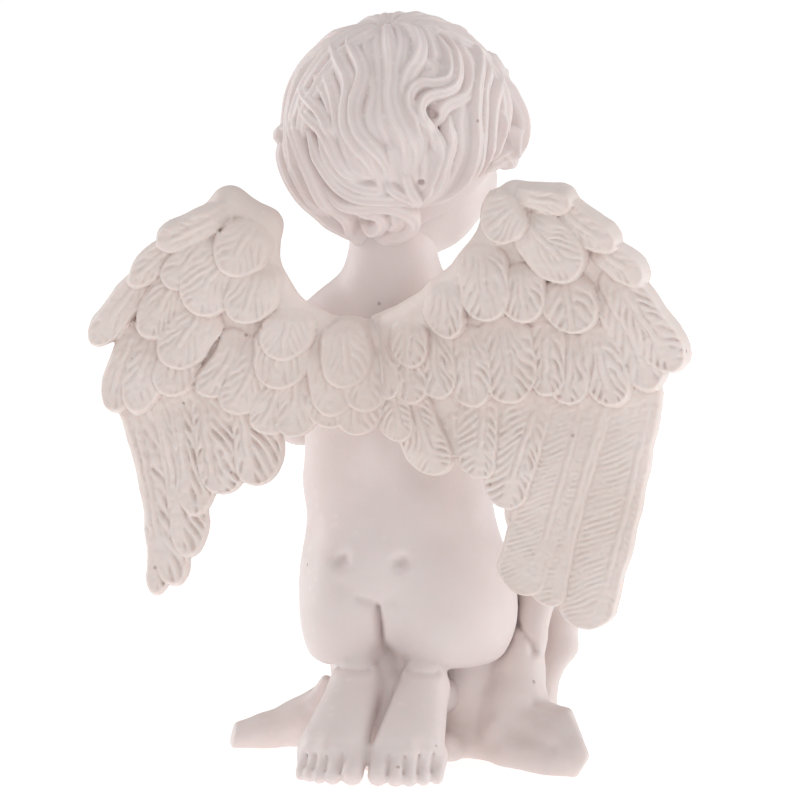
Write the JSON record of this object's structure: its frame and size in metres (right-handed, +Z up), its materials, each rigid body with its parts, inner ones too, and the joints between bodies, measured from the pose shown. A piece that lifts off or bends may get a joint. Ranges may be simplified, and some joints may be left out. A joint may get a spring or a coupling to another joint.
{
  "type": "kneeling cherub figurine",
  "caption": "Small cast-resin kneeling cherub with curly hair and two feathered wings, resting on sculpted drapery.",
  "frame": {"origin": "on the ground under the middle of the figurine's box", "axes": "+Z up, the figure faces -Y, and +X is the figure's left-hand side"},
  "size_m": [0.0804, 0.0529, 0.0969],
  "materials": {
    "body_resin": "satin cast resin, slightly waxy",
    "wing_resin": "satin cast resin, warmer where it is thin",
    "drapery_resin": "satin cast resin, slightly waxy"
  },
  "bodies": {
    "root": {"body": "body_resin", "head": "body_resin", "left_arm": "body_resin", "right_arm": "body_resin", "left_wing": "wing_resin", "right_wing": "wing_resin", "drapery": "drapery_resin"}
  },
  "joints": []
}
